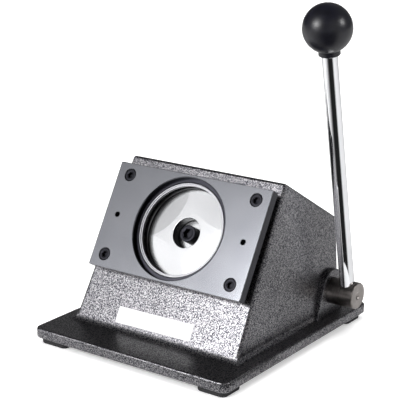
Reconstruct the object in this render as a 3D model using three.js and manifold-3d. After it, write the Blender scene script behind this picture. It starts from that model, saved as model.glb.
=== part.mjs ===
// Stand-type punch press that cuts the round paper blanks for button badges.
// Millimetres, +Z up, +X to the operator's right, -Y towards the operator.
// The housing's front face leans back, and the punch moves square to that face.

import * as THREE from 'three';
import { mergeVertices } from 'three/addons/utils/BufferGeometryUtils.js';
import { ConvexGeometry } from 'three/addons/geometries/ConvexGeometry.js';
import Module from 'manifold-3d';

const wasm = await Module();
wasm.setup();

// ---------------------------------------------------------------- driving dimensions

const BASE = { width: 200, depth: 226.7, thickness: 9, corner: 7, edge: 1.6 };
const FOOT = { width: 28, depth: 25, height: 5.5, corner: 5, insetX: 4, insetY: 4 };
const FACE_ANGLE = 60;            // degrees, the front face above the base
const HOUSING = {
  frontY: 36.8,                   // where the front face meets the base
  faceLength: 153.5,              // up the front face, from the base to the ridge
  backLength: 96.6,               // down the top slope, from the ridge to the rear wall
  rearY: 201.4,                   // the rear wall at the base
  halfWidthLow: 84.7,
  halfWidthHigh: 79.8,            // at the ridge: the side walls draw in as they rise
  edge: 2.6,                      // radius of the cast edges
  // The cast fillet round the housing's foot, as [height, distance out from the wall].
  fillet: [[0, 3.2], [1.4, 1.2], [4.2, 0]],
  frontWall: 12,
  topWall: 7,
  rearWall: 6,
  sideWall: 7,
};
const PUNCH_UP = 95.3;            // punch centre, up the front face
const PLATE = { halfWidth: 78.8, low: 48, high: 142.6, thickness: 8.4, edge: 0.5 };
const SLOT = 5.65;                // the paper slot between housing and die plate
const DIE = {
  mouth: 45,
  mouthDepth: 4.6,
  ring: 42,                       // radius of the seat for the cutting ring
  rim: 40.2,                      // the step in the ring's mouth
  bore: 39.1,
  guide: 40.9,                    // outer radius of the sleeve that guides the punch
};
const PUNCH = { radius: 38.6, thickness: 16, counterbore: 13.4, counterboreDepth: 11.5 };
// Four shallow hollows ground into the punch face leave a four-pointed star between them.
const SHEAR = { reach: 65.6, radius: 47.7, firstAngle: 60, depth: 1.1 };
const PUNCH_SCREW = { head: 7.4, shank: 5, top: -1.6, length: 26, socket: 8, socketDepth: 4.5 };
const PUNCH_WASHER = { inner: 5.6, outer: 12.9, thickness: 1.2 };
const PLATE_SCREW = {
  x: 65.5,
  low: 59.55,                     // the lower pair's place up the front face
  high: 132.1,
  head: 5.2,
  headHeight: 6,
  shank: 3,
  tip: -9.5,
  socket: 5,
  socketDepth: 3.2,
  spacer: 6,                      // radius of the spacer round it in the paper slot
};
const DOWEL = { x: 65.5, up: 95.8, radius: 1.95, sunk: 5, tip: -7.5 };
const SHAFT = { y: 183.9, z: 21.3, radius: 11.7, right: 113.1, left: -91 };
const BOSS_FACE = 88;             // outer face of the shaft bosses, from the middle
const END_SCREW = { head: 5, shank: 3, top: 6, length: 12, socket: 4, socketDepth: 2.4 };
const END_WASHER = { inner: 3.3, outer: 15.5, thickness: 2 };
const LEVER = {
  x: 103,
  radius: 6.47,
  lean: 12.4,                     // degrees back from upright
  bottom: -6.4,
  thread: 5,                      // radius of the end inside the knob
  knobCentre: 245,
  knobRadius: 20.6,
  neck: 9,                        // radius of the knob's collar
};
const LIFT = 7.8;                 // ram travel per radian of lever travel
const LIFT_START = 15;            // cam height on the ram's line with the lever at rest
const LEVER_TRAVEL = 70;          // degrees
const CAM = { halfWidth: 12, hub: 13.4, pin: 3 };
const RAM = { radius: 18, armX: 62, armUp: 11, armLow: -88, armHigh: -76, screwDepth: 28 };
const POST = { x: 50, radius: 5, rear: -101, tip: -6 };
const SPRING = { radius: 8.2, wire: 0.9, turns: 6 };
const LABEL = { width: 78, height: 14.2, x: -3.4, up: 14.1, turn: 0.8, thickness: 0.4 };
const GAP = 0.3;                  // clearance between touching pieces
// Sides of a turned surface: the die's, an ordinary one and a small screw's.
const FINE = 44;
const ROUND = 26;
const SMALL = 14;

const rad = THREE.MathUtils.degToRad;
const Z_FLOOR = -BASE.thickness - FOOT.height;
const FAR = 400;                  // longer than anything in the machine

// ---------------------------------------------------------------- materials

const paint = (name, color, roughness, metalness) =>
  new THREE.MeshStandardMaterial({ name, color, roughness, metalness });
const hammerPaint = paint('hammer_paint', 0x77777c, 0.45, 0.3);
const groundSteel = paint('ground_steel', 0x8f9094, 0.35, 0.9);
const dieSteel = paint('die_steel', 0xb9babd, 0.25, 1.0);
const punchSteel = paint('punch_steel', 0xdedfe2, 0.12, 1.0);
const blackSteel = paint('black_oxide', 0x1c1c1f, 0.4, 0.8);
const shaftSteel = paint('shaft_steel', 0x4a4543, 0.35, 0.9);
const chrome = paint('chrome', 0xd8dade, 0.06, 1.0);
const blackPlastic = paint('black_plastic', 0x0c0c0e, 0.12, 0.0);
const rubber = paint('rubber', 0x111112, 0.85, 0.0);
const springSteel = paint('spring_steel', 0x8a8c90, 0.3, 1.0);
const castIron = paint('cast_iron', 0x55565a, 0.6, 0.7);
const whiteFilm = paint('white_film', 0xf2f2f0, 0.4, 0.0);

// ---------------------------------------------------------------- solids

// Shared corners joined and collapsed triangles dropped, so that the solid is closed.
function solid(geometry) {
  const bare = geometry.clone();
  bare.deleteAttribute('normal');
  bare.deleteAttribute('uv');
  const merged = mergeVertices(bare, 1e-4);
  const corners = merged.index.array;
  const kept = [];
  for (let i = 0; i < corners.length; i += 3) {
    const [a, b, c] = [corners[i], corners[i + 1], corners[i + 2]];
    if (a !== b && b !== c && c !== a) kept.push(a, b, c);
  }
  const vertProperties = new Float32Array(merged.attributes.position.array);
  const triVerts = new Uint32Array(kept);
  return new wasm.Manifold(new wasm.Mesh({ numProp: 3, vertProperties, triVerts }));
}

function toGeometry(body) {
  const mesh = body.getMesh();
  const geometry = new THREE.BufferGeometry();
  geometry.setAttribute('position', new THREE.BufferAttribute(mesh.vertProperties, 3));
  geometry.setIndex(new THREE.BufferAttribute(mesh.triVerts, 1));
  geometry.computeVertexNormals();
  return geometry;
}

function addPiece(group, name, body, material) {
  const mesh = new THREE.Mesh(toGeometry(body), material);
  mesh.name = name;
  group.add(mesh);
}

function box(x0, x1, y0, y1, z0, z1) {
  const geometry = new THREE.BoxGeometry(x1 - x0, y1 - y0, z1 - z0);
  geometry.translate((x0 + x1) / 2, (y0 + y1) / 2, (z0 + z1) / 2);
  return solid(geometry);
}

// A cylinder along Z from z0 to z1, centred on (x, y).
function rod(radius, z0, z1, x = 0, y = 0, sides = ROUND) {
  const geometry = new THREE.CylinderGeometry(radius, radius, z1 - z0, sides);
  geometry.rotateX(Math.PI / 2);
  geometry.translate(x, y, (z0 + z1) / 2);
  return solid(geometry);
}

// A cylinder along X from x0 to x1, centred on (y, z).
function crossRod(radius, x0, x1, y = 0, z = 0, sides = ROUND) {
  const geometry = new THREE.CylinderGeometry(radius, radius, x1 - x0, sides);
  geometry.rotateZ(-Math.PI / 2);
  geometry.translate((x0 + x1) / 2, y, z);
  return solid(geometry);
}

// A shape turned about Z. The profile is [radius, z] pairs, rising up the outside.
function turned(profile, x = 0, y = 0, sides = ROUND) {
  const points = profile.map(([r, z]) => new THREE.Vector2(r, z));
  const geometry = new THREE.LatheGeometry(points, sides);
  geometry.rotateX(Math.PI / 2);
  geometry.translate(x, y, 0);
  return solid(geometry);
}

// A ring's outline closes on itself: up the outside and down the inside.
const ring = (inner, outer, z0, z1, x = 0, y = 0, sides = ROUND) =>
  turned([[inner, z0], [outer, z0], [outer, z1], [inner, z1], [inner, z0]], x, y, sides);

function roundedRectangle(halfWidth, halfHeight, corner) {
  const shape = new THREE.Shape();
  const [w, h] = [halfWidth, halfHeight];
  shape.moveTo(-w + corner, -h);
  shape.lineTo(w - corner, -h);
  shape.absarc(w - corner, -h + corner, corner, -Math.PI / 2, 0);
  shape.lineTo(w, h - corner);
  shape.absarc(w - corner, h - corner, corner, 0, Math.PI / 2);
  shape.lineTo(-w + corner, h);
  shape.absarc(-w + corner, h - corner, corner, Math.PI / 2, Math.PI);
  shape.lineTo(-w, -h + corner);
  shape.absarc(-w + corner, -h + corner, corner, Math.PI, Math.PI * 1.5);
  return shape;
}

// A slab with rounded corners and eased edges, from z0 to z1.
function slab(halfWidth, halfHeight, corner, edge, z0, z1) {
  const shape = roundedRectangle(halfWidth - edge, halfHeight - edge, corner - edge);
  const geometry = new THREE.ExtrudeGeometry(shape, {
    depth: z1 - z0 - 2 * edge,
    curveSegments: 3,
    bevelThickness: edge,
    bevelSize: edge,
    bevelSegments: 1,
  });
  geometry.translate(0, 0, z0 + edge);
  return solid(geometry);
}

// A shape drawn in the YZ plane and extruded along X.
function sideExtrusion(shape, x0, x1, curveSegments = 8) {
  const options = { depth: x1 - x0, bevelEnabled: false, curveSegments };
  const geometry = new THREE.ExtrudeGeometry(shape, options);
  const yzx = new THREE.Matrix4().makeBasis(
    new THREE.Vector3(0, 1, 0), new THREE.Vector3(0, 0, 1), new THREE.Vector3(1, 0, 0));
  geometry.applyMatrix4(yzx);
  geometry.translate(x0, 0, 0);
  return solid(geometry);
}

// A hexagonal socket or bar along Z, measured across its flats.
const hexagon = (acrossFlats, z0, z1, x = 0, y = 0) =>
  rod(acrossFlats / Math.sqrt(3), z0, z1, x, y, 6);

// A socket-head screw along Z: its head from headLow up, its shank down to tip.
function socketScrew(head, shank, headLow, headHigh, tip, socket, socketDepth, x = 0, y = 0) {
  const ease = 0.5;
  const profile = [[0, tip], [shank - ease, tip], [shank, tip + ease], [shank, headLow],
    [head, headLow], [head, headHigh - ease], [head - ease, headHigh], [0, headHigh]];
  return turned(profile, x, y, SMALL)
    .subtract(hexagon(socket, headHigh - socketDepth, headHigh + 1, x, y));
}

// ---------------------------------------------------------------- the machine's groups

// The machine stands with the middle of its floor outline at the origin.
const machine = new THREE.Group();
const stand = new THREE.Group();
const outlineRight = LEVER.x + LEVER.knobRadius;
stand.position.set((BASE.width / 2 - outlineRight) / 2, -BASE.depth / 2, -Z_FLOOR);
machine.add(stand);

// The face group lies on the housing's front face: x across, y up the slope, z out of it.
const face = new THREE.Group();
face.position.set(0, HOUSING.frontY, 0);
face.rotation.x = rad(FACE_ANGLE);
stand.add(face);

// The punch group is the face group moved up to the punch's centre line.
const punchLine = new THREE.Group();
punchLine.position.set(0, PUNCH_UP, 0);
face.add(punchLine);

// The shaft group has its origin on the shaft's axis, and the lever group leans with the rod.
const shaftLine = new THREE.Group();
shaftLine.position.set(0, SHAFT.y, SHAFT.z);
stand.add(shaftLine);
const lever = new THREE.Group();
lever.position.set(LEVER.x, 0, 0);
lever.rotation.x = rad(LEVER.lean);
shaftLine.add(lever);

// A point of the side view given by its place up the face and out of it.
const sideX = (up, out) =>
  HOUSING.frontY + up * Math.cos(rad(FACE_ANGLE)) - out * Math.sin(rad(FACE_ANGLE));
const sideZ = (up, out) => up * Math.sin(rad(FACE_ANGLE)) + out * Math.cos(rad(FACE_ANGLE));

// ---------------------------------------------------------------- base plate and feet

const footX = BASE.width / 2 - FOOT.insetX - FOOT.width / 2;
const footFrontY = FOOT.insetY + FOOT.depth / 2;
const footRearY = BASE.depth - FOOT.insetY - FOOT.depth / 2;
const footPlaces = [
  ['front_left', -footX, footFrontY],
  ['front_right', footX, footFrontY],
  ['rear_left', -footX, footRearY],
  ['rear_right', footX, footRearY],
];
const FOOT_SCREW = { head: 4.6, headHeight: 1.9, shank: 2.2, recess: 2.8, up: 6 };
const CROSS_SLOT = { halfLength: 3, halfWidth: 0.5, depth: 0.9 };

const LUG = { x: 66, frontY: 68, rearY: 150, radius: 9.5, height: 22 };
const BASE_SCREW = { head: 6.5, shank: 4, headHeight: 5, up: 16, socket: 6, socketDepth: 3 };
const lugPlaces = [
  ['front_left', -LUG.x, LUG.frontY],
  ['front_right', LUG.x, LUG.frontY],
  ['rear_left', -LUG.x, LUG.rearY],
  ['rear_right', LUG.x, LUG.rearY],
];

function makeBase() {
  const [halfWidth, halfDepth] = [BASE.width / 2, BASE.depth / 2];
  const geometry = toGeometry(
    slab(halfWidth, halfDepth, BASE.corner, BASE.edge, -BASE.thickness, 0));
  geometry.translate(0, halfDepth, 0);
  let plate = solid(geometry);
  for (const [, x, y] of footPlaces) {
    const hole = rod(FOOT_SCREW.shank + GAP, -BASE.thickness - 1, -BASE.thickness + 7, x, y, SMALL);
    plate = plate.subtract(hole);
  }
  for (const [, x, y] of lugPlaces) {
    const recessTop = -BASE.thickness + BASE_SCREW.headHeight + 1;
    const recess = rod(BASE_SCREW.head + GAP, -BASE.thickness - 1, recessTop, x, y, SMALL);
    plate = plate.subtract(recess).subtract(rod(BASE_SCREW.shank + GAP, -FAR, FAR, x, y, SMALL));
  }
  addPiece(stand, 'base_plate', plate, hammerPaint);
}

function makeFoot(name, x, y) {
  const top = -BASE.thickness - 0.05;
  const geometry = toGeometry(
    slab(FOOT.width / 2, FOOT.depth / 2, FOOT.corner, 0.8, Z_FLOOR, top));
  geometry.translate(x, y, 0);
  const recess = rod(FOOT_SCREW.head + 0.6, Z_FLOOR - 1, Z_FLOOR + FOOT_SCREW.recess, x, y, SMALL);
  const hole = rod(FOOT_SCREW.shank + GAP, Z_FLOOR - 1, 0, x, y, SMALL);
  addPiece(stand, `foot_${name}`, solid(geometry).subtract(recess).subtract(hole), rubber);

  // The screw's head sits in the recess, clear of the ground.
  const headTop = Z_FLOOR + FOOT_SCREW.recess - GAP;
  const { head, shank, headHeight } = FOOT_SCREW;
  const headLow = headTop - headHeight;
  const ease = 0.8;
  const tip = headTop + FOOT_SCREW.up + 1;
  const profile = [[0, headLow], [head - ease, headLow], [head, headLow + ease],
    [head, headTop], [shank, headTop], [shank, tip], [0, tip]];
  const { halfLength, halfWidth, depth } = CROSS_SLOT;
  const [slotLow, slotHigh] = [headLow - 1, headLow + depth];
  const across = box(x - halfLength, x + halfLength, y - halfWidth, y + halfWidth,
    slotLow, slotHigh);
  const along = box(x - halfWidth, x + halfWidth, y - halfLength, y + halfLength,
    slotLow, slotHigh);
  const screw = turned(profile, x, y, SMALL).subtract(across.add(along));
  addPiece(stand, `foot_screw_${name}`, screw, blackSteel);
}

function makeBaseScrew(name, x, y) {
  // The head is underneath, so the screw is turned over after it is made.
  const headTop = BASE.thickness - 0.5;
  const screw = socketScrew(BASE_SCREW.head, BASE_SCREW.shank,
    headTop - BASE_SCREW.headHeight, headTop, -BASE_SCREW.up,
    BASE_SCREW.socket, BASE_SCREW.socketDepth);
  const geometry = toGeometry(screw);
  geometry.rotateX(Math.PI);
  geometry.translate(x, y, 0);
  addPiece(stand, `base_screw_${name}`, solid(geometry), blackSteel);
}

// ---------------------------------------------------------------- housing

// Half the housing's width at a height above the base.
const ridgeZ = sideZ(HOUSING.faceLength, 0);
const halfWidthAt = (z) =>
  HOUSING.halfWidthLow + (HOUSING.halfWidthHigh - HOUSING.halfWidthLow) * z / ridgeZ;

// A convex outline, listed clockwise as [y, z] corners, drawn in by a distance.
function drawnIn(outline, distance) {
  const count = outline.length;
  const corner = (i) => new THREE.Vector2(...outline[(i + count) % count]);
  return outline.map((_, i) => {
    const before = corner(i).sub(corner(i - 1)).normalize();
    const after = corner(i + 1).sub(corner(i)).normalize();
    const inwards = new THREE.Vector2(before.y + after.y, -before.x - after.x).normalize();
    const half = Math.sqrt((1 + before.dot(after)) / 2);
    return corner(i).addScaledVector(inwards, distance / half).toArray();
  });
}

// A closed wedge through a convex side outline, with drafted sides and rounded edges.
function draftedWedge(outline, sideInset, edge) {
  const points = [];
  const ball = new THREE.SphereGeometry(Math.max(edge, 0.001), 12, 6);
  ball.rotateZ(Math.PI / 2);
  const ballPoints = ball.attributes.position;
  for (const [y, z] of drawnIn(outline, edge)) {
    const x = halfWidthAt(z) - sideInset - edge;
    for (const side of [-1, 1]) {
      const centre = new THREE.Vector3(side * x, y, z);
      for (let i = 0; i < (edge > 0 ? ballPoints.count : 0); i += 1) {
        points.push(new THREE.Vector3().fromBufferAttribute(ballPoints, i).add(centre));
      }
      if (edge === 0) points.push(centre);
    }
  }
  return solid(new ConvexGeometry(points));
}

// The cast fillet round the housing's foot: two thin frustums, the lower one steeper out.
function footFillet() {
  const level = ([z, out]) => {
    const x = halfWidthAt(z) + out;
    const front = HOUSING.frontY + z / Math.tan(rad(FACE_ANGLE)) - out;
    const rear = HOUSING.rearY + out;
    return [[-x, front], [x, front], [x, rear], [-x, rear]]
      .map(([px, py]) => new THREE.Vector3(px, py, z));
  };
  const [low, middle, high] = HOUSING.fillet.map(level);
  return solid(new ConvexGeometry([...low, ...middle]))
    .add(solid(new ConvexGeometry([...middle, ...high])));
}

// The outline of a shaft boss: straight flanks that narrow to a rounded top.
function bossShape() {
  const rearEdge = HOUSING.rearY - 0.4;
  const shape = new THREE.Shape();
  shape.moveTo(158.6, 0.2);
  shape.lineTo(163.2, 15.4);
  shape.lineTo(169.2, 30.4);
  shape.quadraticCurveTo(173.4, 40.4, 184, 40.4);
  shape.quadraticCurveTo(192.6, 40.4, rearEdge - 2, 34);
  shape.lineTo(rearEdge, 0.2);
  return shape;
}

function makeHousing() {
  const below = 12;
  const rearSlant = 0.05;
  const outline = [
    [sideX(-below / Math.sin(rad(FACE_ANGLE)), 0), -below],
    [sideX(HOUSING.faceLength, 0), ridgeZ],
    [sideX(HOUSING.faceLength, -HOUSING.backLength), sideZ(HOUSING.faceLength, -HOUSING.backLength)],
    [HOUSING.rearY + rearSlant * below, -below],
  ];
  const innerTop = HOUSING.faceLength - HOUSING.topWall;
  const rearDrop = HOUSING.backLength - HOUSING.rearWall * 1.2;
  const hollow = [
    [sideX(-below / Math.sin(rad(FACE_ANGLE)), -HOUSING.frontWall), -below - 6],
    [sideX(innerTop, -HOUSING.frontWall), sideZ(innerTop, -HOUSING.frontWall)],
    [sideX(innerTop, -rearDrop), sideZ(innerTop, -rearDrop)],
    [HOUSING.rearY - HOUSING.rearWall, -below - 6],
  ];
  const aboveBase = box(-FAR, FAR, -FAR, FAR, 0.05, FAR);
  const outer = draftedWedge(outline, 0, HOUSING.edge);
  const cavity = draftedWedge(hollow, HOUSING.sideWall, 0);
  let body = outer.add(footFillet()).subtract(cavity);

  // Screw lugs in the bottom corners, merged into the side walls.
  for (const [, x, y] of lugPlaces) {
    const side = Math.sign(x);
    const wall = side * (HOUSING.halfWidthLow - 3);
    body = body.add(rod(LUG.radius, -1, LUG.height, x, y, SMALL));
    body = body.add(box(Math.min(x, wall), Math.max(x, wall), y - LUG.radius, y + LUG.radius,
      -1, LUG.height));
  }

  // The shaft bosses stand proud of both side walls.
  for (const side of [-1, 1]) {
    const [a, b] = [side * (HOUSING.halfWidthHigh - 4), side * BOSS_FACE];
    body = body.add(sideExtrusion(bossShape(), Math.min(a, b), Math.max(a, b)));
  }
  body = body.intersect(aboveBase);
  body = body.subtract(crossRod(SHAFT.radius + GAP, -FAR, FAR, SHAFT.y, SHAFT.z, ROUND));
  for (const [, x, y] of lugPlaces) {
    body = body.subtract(rod(BASE_SCREW.shank + GAP, -1, BASE_SCREW.up + 1.5, x, y, SMALL));
  }

  // An arched window in the rear wall gives access to the cam.
  const window = new THREE.Shape();
  const windowHalf = 34;
  window.moveTo(-windowHalf, -1);
  window.lineTo(windowHalf, -1);
  window.lineTo(windowHalf, 30);
  window.absarc(0, 30, windowHalf, 0, Math.PI);
  const cut = new THREE.ExtrudeGeometry(window,
    { depth: 40, bevelEnabled: false, curveSegments: 10 });
  cut.rotateX(Math.PI / 2);
  cut.translate(0, HOUSING.rearY + 20, 0);
  body = body.subtract(solid(cut));

  // Openings in the front wall are made square to it.
  const onFace = new THREE.Matrix4()
    .makeTranslation(0, HOUSING.frontY, 0)
    .multiply(new THREE.Matrix4().makeRotationX(rad(FACE_ANGLE)));
  const drill = (cutter) => {
    const geometry = toGeometry(cutter);
    geometry.applyMatrix4(onFace);
    body = body.subtract(solid(geometry));
  };
  drill(rod(DIE.guide + GAP, -HOUSING.frontWall - 8, 5, 0, PUNCH_UP, FINE));
  for (const [, x, up] of platePlaces) {
    drill(rod(PLATE_SCREW.shank + GAP, -10, 5, x, up, SMALL));
  }
  for (const side of [-1, 1]) {
    drill(rod(DOWEL.radius + GAP, -8, 5, side * DOWEL.x, DOWEL.up, SMALL));
    drill(rod(POST.radius + GAP, -HOUSING.frontWall - 4, -5, side * POST.x, PUNCH_UP, SMALL));
  }
  addPiece(stand, 'housing', body, hammerPaint);
}

// ---------------------------------------------------------------- die plate

const platePlaces = [
  ['lower_left', -PLATE_SCREW.x, PLATE_SCREW.low],
  ['lower_right', PLATE_SCREW.x, PLATE_SCREW.low],
  ['upper_left', -PLATE_SCREW.x, PLATE_SCREW.high],
  ['upper_right', PLATE_SCREW.x, PLATE_SCREW.high],
];
const plateBack = SLOT;
const plateFront = SLOT + PLATE.thickness;

function makeDiePlate() {
  const halfHeight = (PLATE.high - PLATE.low) / 2;
  const geometry = toGeometry(
    slab(PLATE.halfWidth, halfHeight, 0.9, PLATE.edge, plateBack, plateFront));
  geometry.translate(0, (PLATE.high + PLATE.low) / 2, 0);
  const chamfer = 0.7;
  const mouthFloor = plateFront - DIE.mouthDepth;
  const opening = turned([[0, plateBack - 1], [DIE.ring, plateBack - 1], [DIE.ring, mouthFloor],
    [DIE.mouth, mouthFloor], [DIE.mouth, plateFront - chamfer],
    [DIE.mouth + chamfer + 1, plateFront + 1], [0, plateFront + 1]], 0, PUNCH_UP, FINE);
  let plate = solid(geometry).subtract(opening);
  for (const [, x, up] of platePlaces) {
    const recessFloor = plateFront - PLATE_SCREW.headHeight - 0.2;
    plate = plate.subtract(turned([[0, plateBack - 1], [PLATE_SCREW.shank + GAP, plateBack - 1],
      [PLATE_SCREW.shank + GAP, recessFloor], [PLATE_SCREW.head + GAP, recessFloor],
      [PLATE_SCREW.head + GAP, plateFront - 0.4], [PLATE_SCREW.head + GAP + 1.4, plateFront + 1],
      [0, plateFront + 1]], x, up, SMALL));
  }
  for (const side of [-1, 1]) {
    plate = plate.subtract(
      rod(DOWEL.radius + GAP, plateBack - 1, plateFront + 1, side * DOWEL.x, DOWEL.up, SMALL));
  }
  addPiece(face, 'die_plate', plate, groundSteel);

  // The hardened cutting ring, with a stepped mouth.
  const top = mouthFloor;
  const outer = DIE.ring - GAP;
  const dieRing = turned([[DIE.bore, plateBack], [outer, plateBack], [outer, top - 0.8],
    [outer - 0.8, top], [DIE.rim, top], [DIE.rim, top - 0.9], [DIE.bore, top - 0.9],
    [DIE.bore, plateBack]], 0, 0, FINE);
  addPiece(punchLine, 'die_ring', dieRing, dieSteel);
}

function makePlateScrew(name, x, up) {
  const headHigh = plateFront - 0.15;
  const headLow = headHigh - PLATE_SCREW.headHeight + GAP;
  const screw = socketScrew(PLATE_SCREW.head, PLATE_SCREW.shank, headLow, headHigh,
    PLATE_SCREW.tip, PLATE_SCREW.socket, PLATE_SCREW.socketDepth, x, up);
  addPiece(face, `plate_screw_${name}`, screw, blackSteel);
  const inner = PLATE_SCREW.shank + GAP;
  const spacer = ring(inner, PLATE_SCREW.spacer, 0.05, plateBack - 0.05, x, up, SMALL);
  addPiece(face, `slot_spacer_${name}`, spacer, groundSteel);
}

function makeDowel(name, x) {
  const top = plateFront - DOWEL.sunk;
  const ease = 0.4;
  const pin = turned([[0, DOWEL.tip], [DOWEL.radius, DOWEL.tip], [DOWEL.radius, top - ease],
    [DOWEL.radius - ease, top], [0, top]], x, DOWEL.up, SMALL);
  addPiece(face, `dowel_${name}`, pin, dieSteel);
}

// ---------------------------------------------------------------- punch, ram and springs

// How far the shaft's axis lies out of the front face, so negative, behind it.
const shaftOut = -(SHAFT.y - HOUSING.frontY) * Math.sin(rad(FACE_ANGLE))
  + SHAFT.z * Math.cos(rad(FACE_ANGLE));

function makePunch() {
  const back = -PUNCH.thickness;
  const ease = 0.3;
  const floor = -PUNCH.counterboreDepth;
  const hole = PUNCH_WASHER.inner;
  let disc = turned([[hole, back], [PUNCH.radius, back], [PUNCH.radius, -ease],
    [PUNCH.radius - ease, 0], [PUNCH.counterbore + ease, 0], [PUNCH.counterbore, -ease],
    [PUNCH.counterbore, floor], [hole, floor], [hole, back]], 0, 0, FINE);
  for (let quarter = 0; quarter < 4; quarter += 1) {
    const angle = rad(SHEAR.firstAngle + 90 * quarter);
    const [x, y] = [SHEAR.reach * Math.cos(angle), SHEAR.reach * Math.sin(angle)];
    const profile = [[0, -SHEAR.depth], [SHEAR.radius, 0], [SHEAR.radius, 2], [0, 2]];
    disc = disc.subtract(turned(profile, x, y, 2 * FINE));
  }
  addPiece(punchLine, 'punch', disc, punchSteel);
  const washerLow = floor + GAP;
  const washerTop = washerLow + PUNCH_WASHER.thickness;
  addPiece(punchLine, 'punch_washer',
    ring(PUNCH_WASHER.inner, PUNCH_WASHER.outer, washerLow, washerTop), punchSteel);
  const screw = socketScrew(PUNCH_SCREW.head, PUNCH_SCREW.shank, washerTop + GAP,
    PUNCH_SCREW.top, back - PUNCH_SCREW.length, PUNCH_SCREW.socket, PUNCH_SCREW.socketDepth);
  addPiece(punchLine, 'punch_screw', screw, blackSteel);
  const guide = turned([[DIE.bore, -HOUSING.frontWall], [DIE.guide, -HOUSING.frontWall],
    [DIE.guide, -0.2], [DIE.bore + 0.5, -0.2], [DIE.bore, -0.7],
    [DIE.bore, -HOUSING.frontWall]], 0, 0, FINE);
  addPiece(punchLine, 'punch_guide', guide, dieSteel);
}

function makeRam() {
  const front = -PUNCH.thickness - GAP;
  const rear = shaftOut + LIFT_START + GAP;
  const chamfer = 2;
  let ram = turned([[0, rear], [RAM.radius - chamfer, rear], [RAM.radius, rear + chamfer],
    [RAM.radius, front], [0, front]]);
  ram = ram.add(box(-RAM.armX, RAM.armX, -RAM.armUp, RAM.armUp, RAM.armLow, RAM.armHigh));
  ram = ram.subtract(rod(PUNCH_SCREW.shank + GAP, front - RAM.screwDepth, front + 1));
  for (const side of [-1, 1]) {
    ram = ram.subtract(rod(POST.radius + 0.5, -FAR, FAR, side * POST.x, 0, SMALL));
  }
  addPiece(punchLine, 'ram', ram, castIron);
}

function makePost(name, x) {
  const post = rod(POST.radius, POST.rear, POST.tip, x, 0, SMALL);
  addPiece(punchLine, `guide_post_${name}`, post, dieSteel);

  // The spring stands round the post, between the front wall and the ram's arm.
  const [low, high] = [RAM.armHigh + SPRING.wire + GAP, -HOUSING.frontWall - SPRING.wire - GAP];
  class Helix extends THREE.Curve {
    getPoint(t) {
      const angle = t * SPRING.turns * 2 * Math.PI;
      return new THREE.Vector3(SPRING.radius * Math.cos(angle), SPRING.radius * Math.sin(angle),
        low + (high - low) * t);
    }
  }
  const wire = new THREE.Shape();
  wire.absarc(0, 0, SPRING.wire, 0, 2 * Math.PI);
  const geometry = new THREE.ExtrudeGeometry(wire,
    { steps: SPRING.turns * 9, extrudePath: new Helix(), curveSegments: 2 });
  geometry.translate(x, 0, 0);
  addPiece(punchLine, `return_spring_${name}`, solid(geometry), springSteel);
}

// ---------------------------------------------------------------- shaft, cam and lever

// The cam's working flank is an involute, so the ram moves LIFT for each radian of lever.
// Angles run from the ram's line (out of the face) towards the top of the face.
function camShape() {
  const out = new THREE.Vector2(-Math.sin(rad(FACE_ANGLE)), Math.cos(rad(FACE_ANGLE)));
  const up = new THREE.Vector2(Math.cos(rad(FACE_ANGLE)), Math.sin(rad(FACE_ANGLE)));
  const direction = (angle) =>
    out.clone().multiplyScalar(Math.cos(angle)).addScaledVector(up, Math.sin(angle));
  const points = [];
  const steps = 10;
  const runIn = rad(6);
  const sweep = rad(LEVER_TRAVEL) + 2 * runIn;
  for (let i = 0; i <= steps; i += 1) {
    const angle = -runIn + sweep * i / steps;
    const normal = direction(angle);
    const along = direction(angle + Math.PI / 2);
    points.push(normal.multiplyScalar(LIFT_START + LIFT * angle).addScaledVector(along, LIFT));
  }
  const hubStart = sweep + rad(40);
  const hubEnd = 2 * Math.PI - rad(20);
  const hubSteps = 14;
  for (let i = 0; i <= hubSteps; i += 1) {
    const angle = hubStart + (hubEnd - hubStart) * i / hubSteps;
    points.push(direction(angle).multiplyScalar(CAM.hub));
  }
  return new THREE.Shape(points);
}

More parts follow.
